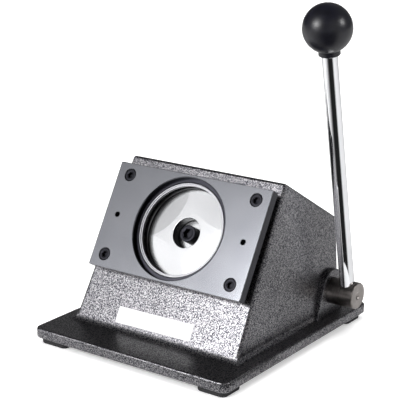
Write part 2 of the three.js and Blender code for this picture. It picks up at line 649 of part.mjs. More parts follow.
function makeShaft() {
  const { radius, left, right } = SHAFT;
  const ease = 0.9;
  const coneDepth = 3.2;
  const coneRadius = 3.4;
  // The profile runs from the left end to the centre-drilled right end.
  const profile = [[0, left], [radius - ease, left], [radius, left + ease],
    [radius, right - ease], [radius - ease, right], [coneRadius, right], [0, right - coneDepth]];
  const points = profile.map(([r, x]) => new THREE.Vector2(r, x));
  const geometry = new THREE.LatheGeometry(points, ROUND);
  geometry.rotateZ(-Math.PI / 2);
  let shaft = solid(geometry);

  // The lever's socket leans with the lever.
  const socketFloor = LEVER.bottom - 0.6;
  const socket = toGeometry(rod(LEVER.radius + GAP, socketFloor, 3 * radius));
  socket.rotateX(rad(LEVER.lean));
  socket.translate(LEVER.x, 0, 0);
  shaft = shaft.subtract(solid(socket));
  shaft = shaft.subtract(rod(CAM.pin + GAP, -FAR, FAR, 0, 0, SMALL));
  const tappedDepth = END_SCREW.length + 2;
  shaft = shaft.subtract(
    crossRod(END_SCREW.shank + GAP, left - 1, left + tappedDepth, 0, 0, SMALL));
  addPiece(shaftLine, 'drive_shaft', shaft, shaftSteel);

  let cam = sideExtrusion(camShape(), -CAM.halfWidth, CAM.halfWidth);
  cam = cam.subtract(crossRod(radius + GAP, -FAR, FAR));
  cam = cam.subtract(rod(CAM.pin + GAP, -FAR, FAR, 0, 0, SMALL));
  addPiece(shaftLine, 'cam', cam, castIron);
  const pinHalfLength = 13;
  addPiece(shaftLine, 'cam_pin', rod(CAM.pin, -pinHalfLength, pinHalfLength, 0, 0, SMALL),
    dieSteel);

  // A washer and screw at the left end keep the shaft in the housing.
  const washer = ring(END_WASHER.inner, END_WASHER.outer, 0, END_WASHER.thickness);
  const end = new THREE.Group();
  end.position.set(left - GAP, 0, 0);
  end.rotation.y = -Math.PI / 2;
  shaftLine.add(end);
  addPiece(end, 'shaft_end_washer', washer, dieSteel);
  const screw = socketScrew(END_SCREW.head, END_SCREW.shank, END_WASHER.thickness + GAP,
    END_SCREW.top, -END_SCREW.length, END_SCREW.socket, END_SCREW.socketDepth);
  addPiece(end, 'shaft_end_screw', screw, blackSteel);
}

function makeLever() {
  const { radius, bottom, thread, neck } = LEVER;
  const rodTop = LEVER.knobCentre + 2;
  const start = LEVER.knobCentre - LEVER.knobRadius - 2;
  const shoulder = start - GAP;
  const ease = 1.5;
  const bar = turned([[0, bottom], [radius - ease, bottom], [radius, bottom + ease],
    [radius, shoulder], [thread, shoulder], [thread, rodTop], [0, rodTop]]);
  addPiece(lever, 'lever_rod', bar, chrome);

  // The ball knob, its collar and the blind hole for the rod's threaded end.
  const firstAngle = Math.asin(neck / LEVER.knobRadius);
  const profile = [[0, start], [neck, start], [neck, start + 0.5]];
  const arcSteps = 10;
  for (let i = 0; i <= arcSteps; i += 1) {
    const angle = firstAngle + (Math.PI - firstAngle) * i / arcSteps;
    const across = i === arcSteps ? 0 : LEVER.knobRadius * Math.sin(angle);
    profile.push([across, LEVER.knobCentre - LEVER.knobRadius * Math.cos(angle)]);
  }
  const hole = rod(thread + GAP, 0, rodTop + GAP, 0, 0, SMALL);
  addPiece(lever, 'ball_knob', turned(profile).subtract(hole), blackPlastic);
}

// ---------------------------------------------------------------- label

function makeLabel() {
  const film = toGeometry(slab(LABEL.width / 2, LABEL.height / 2, 0.8, 0.1, 0, LABEL.thickness));
  film.rotateZ(rad(LABEL.turn));
  film.translate(LABEL.x, LABEL.up, GAP / 2);
  addPiece(face, 'label', solid(film), whiteFilm);
}

// ---------------------------------------------------------------- assembly

makeBase();
for (const [name, x, y] of footPlaces) makeFoot(name, x, y);
for (const [name, x, y] of lugPlaces) makeBaseScrew(name, x, y);
makeHousing();
makeDiePlate();
for (const [name, x, up] of platePlaces) makePlateScrew(name, x, up);
makeDowel('left', -DOWEL.x);
makeDowel('right', DOWEL.x);
makePunch();
makeRam();
makePost('left', -POST.x);
makePost('right', POST.x);
makeShaft();
makeLever();
makeLabel();

export default machine;
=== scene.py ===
"""Looks for the button badge paper punch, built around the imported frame.

Sizes are in millimetres in the stand's own frame (x across from the middle of the base plate,
y back from its front edge, z up from its top). piece() places a mesh in the row frame, and
bare_object() turns it into metres.
"""

import math

import bmesh
import bpy
from mathutils import Matrix, Vector


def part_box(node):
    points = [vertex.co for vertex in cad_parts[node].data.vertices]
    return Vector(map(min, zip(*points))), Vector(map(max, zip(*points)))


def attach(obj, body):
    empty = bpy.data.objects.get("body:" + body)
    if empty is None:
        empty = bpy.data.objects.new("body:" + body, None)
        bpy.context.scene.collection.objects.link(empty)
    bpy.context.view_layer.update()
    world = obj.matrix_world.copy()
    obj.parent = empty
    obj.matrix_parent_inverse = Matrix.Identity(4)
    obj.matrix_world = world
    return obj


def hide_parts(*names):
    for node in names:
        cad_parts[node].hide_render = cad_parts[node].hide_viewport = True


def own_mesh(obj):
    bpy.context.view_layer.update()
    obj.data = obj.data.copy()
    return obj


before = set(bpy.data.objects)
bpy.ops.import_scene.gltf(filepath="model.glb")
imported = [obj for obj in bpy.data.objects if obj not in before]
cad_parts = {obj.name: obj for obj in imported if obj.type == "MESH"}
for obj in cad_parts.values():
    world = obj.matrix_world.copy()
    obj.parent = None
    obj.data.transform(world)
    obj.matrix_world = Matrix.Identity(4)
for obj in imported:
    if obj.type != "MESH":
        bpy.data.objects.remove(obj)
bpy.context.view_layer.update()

MM = 0.001

# ---------------------------------------------------------------- driving dimensions (mm)

BASE_WIDTH = 200
BASE_DEPTH = 226.7
BASE_THICKNESS = 9
BASE_CORNER = 7
BASE_EDGE = 1.6
THROUGH_BASE = (-20, 5)            # from well below the base plate to above it
FOOT_SIZE = (28, 25, 5.5)
FOOT_CORNER = 5
FOOT_INSET = 4
FOOT_RECESS = 5.2                  # radius of the recess round the foot's screw
FOOT_SEAT = 2.8                    # and its depth
FOOT_HOLE = 2.5
FACE_ANGLE = 60
FRONT_Y = 36.8
FACE_LENGTH = 153.5
BACK_LENGTH = 96.6
REAR_Y = 201.4
HALF_WIDTH_LOW = 84.7
HALF_WIDTH_HIGH = 79.8
WALL_FRONT = 12
WALL_SIDE = 7
WALL_TOP = 7
WALL_REAR = 6
CAST_EDGE = 2.6
CAST_FILLET = (4.2, 3.2)           # height and reach of the fillet round the housing's foot
WINDOW_HALF_WIDTH = 34             # the rear wall's window
WINDOW_SPRING = 30                 # where its arch begins
PUNCH_UP = 95.3
PLATE_HALF_WIDTH = 78.8
PLATE_LOW = 48
PLATE_HIGH = 142.6
SLOT = 5.65
PLATE_FRONT = SLOT + 8.4
MOUTH_FLOOR = PLATE_FRONT - 4.6
MOUTH = 45                         # radii, from the die's mouth inwards to the punch's hole
RING_SEAT = 42
GUIDE_RADIUS = 40.9
RING_RIM = 40.2
RING_BORE = 39.1
PUNCH_RADIUS = 38.6
COUNTERBORE = 13.4
PUNCH_HOLE = 5.6
COUNTERBORE_FLOOR = -11.5          # from the punch's face
PUNCH_BACK = -16
SHEAR_REACH = 65.6                 # from the punch's middle to the middle of a shallow hollow
SHEAR_RADIUS = 47.7
SHEAR_DEPTH = 1.1
SHEAR_ANGLE = 60                   # degrees, the first of the four
SCREW_X = 65.5
SCREW_UPS = (59.55, 132.1)
DOWEL_UP = 95.8
DOWEL_RADIUS = 1.95
DOWEL_SUNK = 5
SPACER_RADIUS = 6
SHAFT_Y = 183.9
SHAFT_Z = 21.3
SHAFT_RADIUS = 11.7
SHAFT_LEFT = -91
SHAFT_RIGHT = 113.1
BOSS_FACE = 88
LEVER_X = 103
LEVER_LEAN = 12.4
LEVER_RADIUS = 6.47
LEVER_BOTTOM = -6.4
LEVER_THREAD = 5                   # radius of the lever's end in the knob
LEVER_TRAVEL = 70                  # degrees
KNOB_CENTRE = 245
KNOB_RADIUS = 20.42
KNOB_NECK = 9
CAM_HALF_WIDTH = 12
CAM_HUB = 13.4
CAM_PIN = 3
LIFT = 7.8                         # ram travel per radian of lever travel
LIFT_START = 15                    # cam height on the ram's line with the lever at rest
RAM_RADIUS = 18
RAM_REAR = -101.4
RAM_ARM = (62, 11, -88, -76)       # half width, half height, rear and front of its cross arm
POST_X = 50
POST_RADIUS = 5
POST_ENDS = (-101, -6)
SPRING_RADIUS = 8.2
SPRING_WIRE = 0.9
SPRING_ENDS = (-74.8, -13.2)       # middles of the wire at both ends
SPRING_TURNS = 9
LABEL_HALF_SIZE = (39, 7.1)
LABEL_FACES = (0.02, 0.25)
LABEL_PLACE = (-3.4, 14.1)
LABEL_TURN = 0.8                   # degrees
GAP = 0.3                          # clearance between pieces that touch
# A screw's radii of head and shank, the heights of its head's low and high side and of its tip,
# and its socket's width across flats and depth.
BASE_SCREW = dict(head=6.5, shank=4, low=3.5, high=8.5, tip=-16, socket=6, depth=3)
PLATE_SCREW = dict(head=5.2, shank=3, low=PLATE_FRONT - 5.85, high=PLATE_FRONT - 0.15, tip=-9.5,
                   socket=5, depth=3.2)
PUNCH_SCREW = dict(head=7.4, shank=5, low=-9.7, high=-1.6, tip=-42, socket=8, depth=4.5)
END_SCREW = dict(head=5, shank=3, low=2.3, high=6, tip=-12, socket=4, depth=2.4)
# A washer's inner and outer radius and the heights of its faces.
PUNCH_WASHER = (PUNCH_HOLE, 12.9, -11.2, -10)
END_WASHER = (3.3, 15.5, 0, 2)

# ---------------------------------------------------------------- places

base_low, base_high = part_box("base_plate")
origin = Vector(((base_low.x + base_high.x) / 2, base_low.y, base_high.z)) / MM
STAND = Matrix.Translation(origin)
FACE = STAND @ Matrix.Translation((0, FRONT_Y, 0)) @ Matrix.Rotation(math.radians(FACE_ANGLE), 4, "X")
PUNCH_LINE = FACE @ Matrix.Translation((0, PUNCH_UP, 0))
SHAFT_LINE = STAND @ Matrix.Translation((0, SHAFT_Y, SHAFT_Z))
ACROSS = Matrix.Rotation(math.radians(90), 4, "Y")
LEVER = SHAFT_LINE @ Matrix.Translation((LEVER_X, 0, 0)) @ Matrix.Rotation(
    math.radians(LEVER_LEAN), 4, "X")
SIN, COS = math.sin(math.radians(FACE_ANGLE)), math.cos(math.radians(FACE_ANGLE))
UPWARD = Vector((0, 0, 1))
FACE_OUT = Vector((0, -SIN, COS))
PLATE_PLANE = FACE_OUT.dot(FACE @ Vector((0, 0, PLATE_FRONT))) * MM    # metres from the origin


def side_point(up, out):
    """(y, z) of a point of the side view, given up the front face and out of it."""
    return FRONT_Y + up * COS - out * SIN, up * SIN + out * COS


# ---------------------------------------------------------------- material nodes


class Finish:
    """A node material with a Principled shader and short calls for the nodes before it."""

    def __init__(self, name, **settings):
        self.material = bpy.data.materials.new(name)
        self.material.use_nodes = True
        self.tree = self.material.node_tree
        self.shader = self.tree.nodes["Principled BSDF"]
        for socket, value in settings.items():
            self.shader.inputs[socket.replace("_", " ")].default_value = value
        self.coordinates = self.tree.nodes.new("ShaderNodeTexCoord").outputs["Object"]

    def node(self, kind, **settings):
        node = self.tree.nodes.new("ShaderNode" + kind)
        for name, value in settings.items():
            setattr(node, name, value)
        return node

    def link(self, source, target):
        self.tree.links.new(source, target)

    def mapped(self, scale):
        node = self.node("Mapping")
        node.inputs["Scale"].default_value = scale
        self.link(self.coordinates, node.inputs["Vector"])
        return node.outputs["Vector"]

    def noise(self, scale, detail=2.0, roughness=0.5, distortion=0.0, vector=None):
        node = self.node("TexNoise")
        node.inputs["Scale"].default_value = scale
        node.inputs["Detail"].default_value = detail
        node.inputs["Roughness"].default_value = roughness
        node.inputs["Distortion"].default_value = distortion
        self.link(vector or self.coordinates, node.inputs["Vector"])
        return node.outputs["Fac"]

    def ramp(self, factor, stops):
        node = self.node("ValToRGB")
        ramp = node.color_ramp
        while len(ramp.elements) < len(stops):
            ramp.elements.new(0.5)
        for element, (place, colour) in zip(ramp.elements, stops):
            element.position = place
            rgb = colour if isinstance(colour, tuple) else (colour,) * 3
            element.color = (*rgb, 1)
        self.link(factor, node.inputs["Fac"])
        return node.outputs["Color"]

    def blend(self, kind, factor, a, b):
        """Two colours mixed; the factor is a number or another node's output."""
        node = self.node("Mix", data_type="RGBA", blend_type=kind)
        if isinstance(factor, float):
            node.inputs["Factor"].default_value = factor
        else:
            self.link(factor, node.inputs["Factor"])
        self.link(a, node.inputs["A"])
        self.link(b, node.inputs["B"])
        return node.outputs["Result"]

    def colour(self, output):
        self.link(output, self.shader.inputs["Base Color"])

    def glow(self, factor, strength):
        """White light of its own, where the factor is 1."""
        lift = self.node("Math", operation="MULTIPLY")
        lift.inputs[1].default_value = strength
        self.link(factor, lift.inputs[0])
        self.link(lift.outputs["Value"], self.shader.inputs["Emission Strength"])
        self.shader.inputs["Emission Color"].default_value = (1, 1, 1, 1)

    def roughness(self, factor, low, high):
        node = self.node("MapRange")
        node.inputs["To Min"].default_value = low
        node.inputs["To Max"].default_value = high
        self.link(factor, node.inputs["Value"])
        self.link(node.outputs["Result"], self.shader.inputs["Roughness"])

    def depth(self, direction, low, high):
        """0 to 1 between two distances from the origin along a direction, in metres."""
        along = self.node("VectorMath", operation="DOT_PRODUCT")
        along.inputs[1].default_value = direction
        self.link(self.coordinates, along.inputs[0])
        node = self.node("MapRange")
        node.inputs["From Min"].default_value = low
        node.inputs["From Max"].default_value = high
        self.link(along.outputs["Value"], node.inputs["Value"])
        return node.outputs["Result"]

    def grained(self, noise, dark, light, rough, bump=None):
        """Two tones, a range of roughness and perhaps a bump, all from one noise."""
        grain = self.noise(*noise)
        self.colour(self.ramp(grain, [(0.3, dark), (0.7, light)]))
        self.roughness(grain, *rough)
        if bump:
            self.bump(grain, *bump)
        return self.material

    def bump(self, height, strength, distance):
        node = self.node("Bump")
        node.inputs["Strength"].default_value = strength
        node.inputs["Distance"].default_value = distance
        self.link(height, node.inputs["Height"])
        self.link(node.outputs["Normal"], self.shader.inputs["Normal"])


def hammer_paint():
    """Hammer-finish enamel: silver lacquer that draws away from small dark veins."""
    finish = Finish("hammer_paint", Metallic=0.96)
    veins = finish.noise(1050, 2.0, 0.62, 0.8)
    tone = finish.ramp(veins, [(0.40, (0.012, 0.012, 0.017)), (0.47, (0.045, 0.045, 0.053)),
                               (0.53, (0.16, 0.157, 0.165)), (0.61, (0.272, 0.266, 0.272))])
    cloud = finish.ramp(finish.noise(18, 3.0, 0.5), [(0.3, 0.88), (0.7, 1.0)])
    finish.colour(finish.blend("MULTIPLY", 1.0, tone, cloud))
    finish.roughness(veins, 0.40, 0.28)
    finish.bump(veins, 0.28, 0.0002)
    return finish.material


def ground_steel():
    """Surface-ground front with fine grinding lines; the sides, back and bores are coloured near black,
    which in the mouth and the screw recesses is painted shade.
    """
    finish = Finish("ground_steel", Metallic=1.0)
    lines = finish.noise(1.0, 4.0, 0.6, vector=finish.mapped((60, 2600, 2600)))
    cloud = finish.noise(25, 3.0, 0.5)
    base = finish.ramp(cloud, [(0.3, (0.086, 0.088, 0.096)), (0.7, (0.100, 0.102, 0.110))])
    streak = finish.ramp(lines, [(0.35, 0.96), (0.65, 1.0)])
    bright = finish.blend("MULTIPLY", 1.0, base, streak)
    # Near black everywhere off the front face: painted shade in the mouth and screw recesses, and the
    # same dark on the sides and back.
    dark_off_face_with_bore_shade = finish.ramp(cloud, [(0.3, (0.016, 0.016, 0.020)), (0.7, (0.030, 0.030, 0.036))])
    front = finish.depth(FACE_OUT, PLATE_PLANE - 0.75 * MM, PLATE_PLANE - 0.55 * MM)
    finish.colour(finish.blend("MIX", front, dark_off_face_with_bore_shade, bright))
    finish.roughness(lines, 0.23, 0.27)
    finish.bump(lines, 0.015, 0.00003)
    return finish.material


def die_steel():
    """Hardened tool steel with turned rings too fine to see singly."""
    finish = Finish("die_steel", Metallic=1.0)
    return finish.grained((1400, 3.0, 0.6), dark=(0.17, 0.17, 0.18), light=(0.21, 0.21, 0.22),
                          rough=(0.26, 0.32), bump=(0.02, 0.00002))


def punch_steel():
    """The lapped punch face."""
    finish = Finish("punch_steel", Metallic=1.0)
    return finish.grained((900, 2.0, 0.5), dark=(0.225, 0.227, 0.231), light=(0.25, 0.252, 0.256),
                          rough=(0.20, 0.24), bump=(0.01, 0.00002))


def black_oxide():
    """Blackened screws."""
    finish = Finish("black_oxide", Metallic=0.9)
    return finish.grained((1100, 3.0, 0.6), dark=(0.006, 0.006, 0.008), light=(0.016, 0.016, 0.020),
                          rough=(0.3, 0.48), bump=(0.1, 0.00004))


def shaft_steel():
    """Dark turned bar: fine rings round the axis, which lies along X."""
    finish = Finish("shaft_steel", Metallic=1.0)
    rings = finish.noise(1.0, 3.0, 0.6, vector=finish.mapped((2400, 40, 40)))
    stain = finish.noise(60, 4.0, 0.6)
    base = finish.ramp(stain, [(0.3, (0.18, 0.165, 0.155)), (0.7, (0.34, 0.315, 0.30))])
    streak = finish.ramp(rings, [(0.35, 0.8), (0.65, 1.0)])
    finish.colour(finish.blend("MULTIPLY", 1.0, base, streak))
    finish.roughness(rings, 0.24, 0.34)
    finish.bump(rings, 0.06, 0.00003)
    return finish.material


def chrome():
    """The lever's bright plating with a faint haze."""
    finish = Finish("chrome", Metallic=1.0)
    return finish.grained((45, 3.0, 0.5), dark=(0.63, 0.635, 0.65), light=(0.69, 0.695, 0.71),
                          rough=(0.03, 0.08))


def black_plastic():
    """Polished phenolic with the slight orange peel of a moulding."""
    finish = Finish("black_plastic", IOR=1.5, Specular_IOR_Level=0.35)
    return finish.grained((140, 3.0, 0.5), dark=(0.003, 0.003, 0.005), light=(0.005, 0.005, 0.009),
                          rough=(0.30, 0.33), bump=(0.04, 0.0002))


def rubber():
    """Matt black rubber of the feet."""
    finish = Finish("rubber", Specular_IOR_Level=0.3)
    return finish.grained((900, 3.0, 0.6), dark=(0.010, 0.010, 0.011), light=(0.028, 0.028, 0.03),
                          rough=(0.65, 0.9), bump=(0.3, 0.0002))


def spring_steel():
    """Bare drawn wire."""
    finish = Finish("spring_steel", Metallic=1.0)
    return finish.grained((500, 3.0, 0.6), dark=(0.42, 0.42, 0.44), light=(0.6, 0.6, 0.62),
                          rough=(0.2, 0.36))


def cast_iron():
    """Machined iron, oiled, with open grain."""
    finish = Finish("cast_iron", Metallic=0.85)
    return finish.grained((420, 4.0, 0.65), dark=(0.09, 0.09, 0.095), light=(0.24, 0.24, 0.245),
                          rough=(0.4, 0.6), bump=(0.25, 0.0002))


def white_film():
    """A blank self-adhesive film, a little glossy."""
    finish = Finish("white_film", Coat_Weight=0.3, Coat_Roughness=0.2)
    return finish.grained((300, 3.0, 0.5), dark=(0.60, 0.60, 0.595), light=(0.66, 0.66, 0.655),
                          rough=(0.35, 0.5), bump=(0.05, 0.0001))


FINISHES = {make.__name__: make() for make in (
    hammer_paint, ground_steel, die_steel, punch_steel, black_oxide, shaft_steel, chrome,
    black_plastic, rubber, spring_steel, cast_iron, white_film)}

# ---------------------------------------------------------------- mesh code

# Sides of a turned surface: the die's, an ordinary one, a washer's, a small hole's and a pin's.
FINE, ROUND, MEDIUM, SMALL, TINY = 160, 96, 72, 40, 32
SMOOTH_ANGLE = 32                  # degrees; an edge sharper than this stays an edge
END_CROWDING = 0.35                # how much a spring's end turns draw together, 0 to 1


def lathe(profile, segments=ROUND):
    """A bmesh turned about Z. The profile is (radius, z) pairs and may close on itself."""
    mesh = bmesh.new()
    closed = profile[0] == profile[-1] and profile[0][0] > 0
    points = profile[:-1] if closed else profile
    rows = []
    for radius, z in points:
        if radius == 0:
            rows.append([mesh.verts.new((0, 0, z))])
            continue
        rows.append([mesh.verts.new((radius * math.cos(turn), radius * math.sin(turn), z))
                     for turn in (2 * math.pi * k / segments for k in range(segments))])
    following = rows[1:] + rows[:1] if closed else rows[1:]
    for low, high in zip(rows, following):
        for k in range(segments):
            n = (k + 1) % segments
            corners = [low[k % len(low)], low[n % len(low)], high[n % len(high)], high[k % len(high)]]
            unique = list(dict.fromkeys(corners))
            if len(unique) > 2:
                mesh.faces.new(unique)
    bmesh.ops.recalc_face_normals(mesh, faces=mesh.faces)
    return mesh


def eased(points, ease, steps=3):
    """A profile with each inner corner rounded to the radius ease."""
    result = [points[0]]
    for before, corner, after in zip(points, points[1:], points[2:]):
        p, c, q = Vector(before), Vector(corner), Vector(after)
        nearly_half = min((p - c).length, (q - c).length) / 2.1
        reach = min(ease, nearly_half)
        start, end = c + (p - c).normalized() * reach, c + (q - c).normalized() * reach
        for k in range(steps + 1):
            t = k / steps
            result.append(tuple(start.lerp(c, t).lerp(c.lerp(end, t), t)))
    return result + [points[-1]]


def rounded_outline(half_width, half_height, corner, steps):
    """A rectangle about the origin with round corners, as (x, y) points."""
    outline = []
    for quarter, (sx, sy) in enumerate(((1, 1), (-1, 1), (-1, -1), (1, -1))):
        cx, cy = sx * (half_width - corner), sy * (half_height - corner)
        for k in range(steps + 1):
            turn = math.pi / 2 * (quarter + k / steps)
            outline.append((cx + corner * math.cos(turn), cy + corner * math.sin(turn)))
    return outline


def skinned(mesh, rows):
    """The bmesh closed by faces between its rows of corners and over both ends."""
    for low, high in zip(rows, rows[1:]):
        for k in range(len(low)):
            n = (k + 1) % len(low)
            mesh.faces.new((low[k], low[n], high[n], high[k]))
    mesh.faces.new(rows[0][::-1])
    mesh.faces.new(rows[-1])
    bmesh.ops.recalc_face_normals(mesh, faces=mesh.faces)
    return mesh


def layered(outlines):
    """A closed bmesh through equal outlines, each (points, z)."""
    mesh = bmesh.new()
    return skinned(mesh, [[mesh.verts.new((x, y, z)) for x, y in points] for points, z in outlines])


def slab(half_width, half_height, corner, edge, z0, z1, corner_steps=8, edge_steps=4):
    """A slab with rounded corners and rounded top and bottom edges."""
    least_corner = 0.05
    turns = [math.pi / 2 * k / edge_steps for k in range(edge_steps + 1)]
    layers = [(edge * (1 - math.sin(turn)), z0 + edge * (1 - math.cos(turn))) for turn in turns]
    layers += [(inset, z0 + z1 - z) for inset, z in reversed(layers)]
    return layered([(rounded_outline(half_width - inset, half_height - inset,
                                     max(corner - inset, least_corner), corner_steps), z)
                    for inset, z in layers])


def prism(outline, z0, z1):
    """An (x, y) outline extruded along Z."""
    return layered([(outline, z0), (outline, z1)])


def hexagon(across_flats, z0, z1):
    """The cutter of a hexagonal socket."""
    radius = across_flats / math.sqrt(3)
    return prism([(radius * math.cos(math.pi * k / 3), radius * math.sin(math.pi * k / 3))
                  for k in range(6)], z0, z1)


def cylinder(radius, z0, z1, segments=64):
    return lathe([(0, z0), (radius, z0), (radius, z1), (0, z1)], segments)


def helix(radius, wire, z0, z1, turns, steps_per_turn=28, sides=10):
    """A closed spring with its end turns drawn together."""
    mesh = bmesh.new()
    total = turns * steps_per_turn
    rows = []
    for k in range(total + 1):
        t = k / total
        rise = t - math.sin(2 * math.pi * t) / (2 * math.pi) * END_CROWDING
        turn = 2 * math.pi * turns * t
        centre = Vector((radius * math.cos(turn), radius * math.sin(turn), z0 + (z1 - z0) * rise))
        outward = Vector((math.cos(turn), math.sin(turn), 0))
        rows.append([mesh.verts.new(centre + wire * (outward * math.cos(a) + UPWARD * math.sin(a)))
                     for a in (2 * math.pi * j / sides for j in range(sides))])
    return skinned(mesh, rows)


def moved(mesh, matrix):
    """The same mesh in another place."""
    mesh.transform(matrix)
    return mesh


def at(x=0, y=0, z=0):
    return Matrix.Translation((x, y, z))


def bare_object(name, mesh):
    """A Blender object in metres from a bmesh in millimetres of the row frame."""
    mesh.transform(Matrix.Scale(MM, 4))
    data = bpy.data.meshes.new(name)
    mesh.to_mesh(data)
    mesh.free()
    thing = bpy.data.objects.new(name, data)
    bpy.context.scene.collection.objects.link(thing)
    return thing


def settle(thing):
    """Applies the modifiers to the object's mesh."""
    bpy.context.view_layer.update()
    graph = bpy.context.evaluated_depsgraph_get()
    data = bpy.data.meshes.new_from_object(thing.evaluated_get(graph))
    thing.modifiers.clear()
    old = thing.data
    thing.data = data
    bpy.data.meshes.remove(old)


def boolean(thing, mesh, operation):
    """Joins a bmesh of the row frame to the object, or cuts it out of it."""
    tool = bare_object("tool", mesh)
    modifier = thing.modifiers.new("boolean", "BOOLEAN")
    modifier.operation = operation
    modifier.solver = "EXACT"
    modifier.object = tool
    settle(thing)
    data = tool.data
    bpy.data.objects.remove(tool)
    bpy.data.meshes.remove(data)


def bevel(mesh, edges, offset, segments):
    """Rounds the given edges."""
    bmesh.ops.bevel(mesh, geom=edges, offset=offset, segments=segments, profile=0.5, affect="EDGES")


def piece(name, mesh, matrix, finish, body, node, cuts=(), joins=(), smooth=SMOOTH_ANGLE, before=()):
    """A finished piece that stands for a CAD node. The mesh and what changes it are in local mm:
    first each (mesh, operation) of before, then the joins, then the cuts."""
    thing = bare_object(name, moved(mesh, matrix))
    for other, operation in before:
        boolean(thing, moved(other, matrix), operation)
    for extra in joins:
        boolean(thing, moved(extra, matrix), "UNION")
    for cut in cuts:
        boolean(thing, moved(cut, matrix), "DIFFERENCE")
    for polygon in thing.data.polygons:
        polygon.use_smooth = True
    thing.data.set_sharp_from_angle(angle=math.radians(smooth))
    weighted = thing.modifiers.new("normals", "WEIGHTED_NORMAL")
    weighted.keep_sharp = True
    weighted.weight = 100
    settle(thing)
    thing.data.name = name
    thing.data.materials.clear()
    thing.data.materials.append(FINISHES[finish])
    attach(thing, body)
    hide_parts(node)
    return thing


# ---------------------------------------------------------------- camera

CAMERA_AT = Vector((609.87, -752.35, 409.18))      # in the stand's frame, mm
CAMERA_AZIMUTH = 35.463
CAMERA_ELEVATION = 16.038
CAMERA_ROLL = 0.557
FOCAL_IMAGES = 3.20125                             # focal length over the image's width


def make_camera():
    data = bpy.data.cameras.new("camera")
    data.sensor_width = 36
    data.lens = FOCAL_IMAGES * data.sensor_width
    data.clip_end = 20                             # metres
    camera = bpy.data.objects.new("camera", data)
    turn = (Matrix.Rotation(math.radians(CAMERA_AZIMUTH), 4, "Z")
            @ Matrix.Rotation(math.radians(90 - CAMERA_ELEVATION), 4, "X")
            @ Matrix.Rotation(math.radians(CAMERA_ROLL), 4, "Z"))
    camera.matrix_world = at(*((CAMERA_AT + origin) * MM)) @ turn
    bpy.context.scene.collection.objects.link(camera)
    bpy.context.scene.camera = camera


make_camera()

# ---------------------------------------------------------------- base plate and feet

FOUR = ("front_left", "front_right", "rear_left", "rear_right")
LUG_X = 66
LUG_YS = (68, 150)
LUG_RADIUS = 9.5
LUG_HEIGHT = 22


def corner_places(x, front_y, rear_y):
    """Four (x, y) places by their names in FOUR."""
    places = [(-x, front_y), (x, front_y), (-x, rear_y), (x, rear_y)]
    return dict(zip(FOUR, places))


FEET = corner_places(BASE_WIDTH / 2 - FOOT_INSET - FOOT_SIZE[0] / 2,
                     FOOT_INSET + FOOT_SIZE[1] / 2,
                     BASE_DEPTH - FOOT_INSET - FOOT_SIZE[1] / 2)
LUGS = corner_places(LUG_X, *LUG_YS)


def make_base():
    """The base plate, with sunk holes from below for the screws that hold the casting."""
    plate = slab(BASE_WIDTH / 2, BASE_DEPTH / 2, BASE_CORNER, BASE_EDGE, -BASE_THICKNESS, 0)
    plate = moved(plate, at(0, BASE_DEPTH / 2))
    recess, recess_top = BASE_SCREW["head"] + GAP, 0.5 - BASE_SCREW["low"]
    hole = BASE_SCREW["shank"] + GAP
    cuts = [moved(cylinder(recess, -BASE_THICKNESS - 1, recess_top, TINY), at(x, y))
            for x, y in LUGS.values()]
    cuts += [moved(cylinder(hole, *THROUGH_BASE, TINY), at(x, y)) for x, y in LUGS.values()]
    piece("base_plate_body", plate, STAND, "hammer_paint", "stand", "base_plate", cuts)


def make_foot(name, x, y):
    """A rubber foot with its recess, and the cross-slotted screw in it."""
    width, depth, height = FOOT_SIZE
    floor = -BASE_THICKNESS - height
    seat = floor + FOOT_SEAT
    pad = slab(width / 2, depth / 2, FOOT_CORNER, 1.0, floor, -BASE_THICKNESS - 0.05)
    recess = lathe([(0, floor - 1), (FOOT_RECESS + 0.7, floor - 1), (FOOT_RECESS + 0.1, floor + 0.5),
                    (FOOT_RECESS, seat), (FOOT_HOLE, seat), (FOOT_HOLE, 0), (0, 0)], SMALL)
    place = STAND @ at(x, y)
    piece(f"foot_pad_{name}", pad, place, "rubber", "stand", f"foot_{name}", [recess])
    top = seat - GAP
    tip = top + 7
    profile = [(0, top - 2.0), (3.2, top - 1.9), (4.6, top - 0.8), (4.6, top), (2.2, top), (2.2, tip),
               (0, tip)]
    cross = [prism(rounded_outline(*half_size, 0.2, 3), top - 3, top - 0.9)
             for half_size in ((3, 0.5), (0.5, 3))]
    piece(f"foot_screw_head_{name}", lathe(eased(profile, 0.4), SMALL), place, "black_oxide",
          "stand", f"foot_screw_{name}", cross)


def socket_screw(head, shank, low, high, tip, socket, depth):
    """A socket-head screw along Z and the cutter of its hexagonal socket."""
    dish = high - 0.3
    profile = [(0, tip), (shank, tip), (shank, low), (head, low), (head, high),
               (socket * 0.66, high), (socket * 0.56, dish), (0, dish)]
    return lathe(eased(profile, 0.55), segments=48), hexagon(socket, high - depth, high + 1)


def make_base_screw(name, x, y):
    body, socket = socket_screw(**BASE_SCREW)
    place = STAND @ at(x, y) @ Matrix.Rotation(math.pi, 4, "X")
    piece(f"base_screw_head_{name}", body, place, "black_oxide", "stand", f"base_screw_{name}", [socket])


# ---------------------------------------------------------------- housing

BELOW = 12                         # how far the casting runs below the base's top until trimmed
ONTO_FACE = at(0, FRONT_Y) @ Matrix.Rotation(math.radians(FACE_ANGLE), 4, "X")


def half_width(z):
    """Half the casting's width at a height: its side walls draw in as they rise."""
    return HALF_WIDTH_LOW + (HALF_WIDTH_HIGH - HALF_WIDTH_LOW) * z / side_point(FACE_LENGTH, 0)[1]


def wedge(outline, inset, edge=0):
    """A drafted wedge through a side outline, its edges above the base rounded."""
    mesh = bmesh.new()
    rows = [[mesh.verts.new((side * (half_width(z) - inset), y, z)) for y, z in outline]
            for side in (-1, 1)]
    skinned(mesh, rows)
    if edge:
        bevel(mesh, [e for e in mesh.edges if max(v.co.z for v in e.verts) > 0], edge, 5)
    return mesh


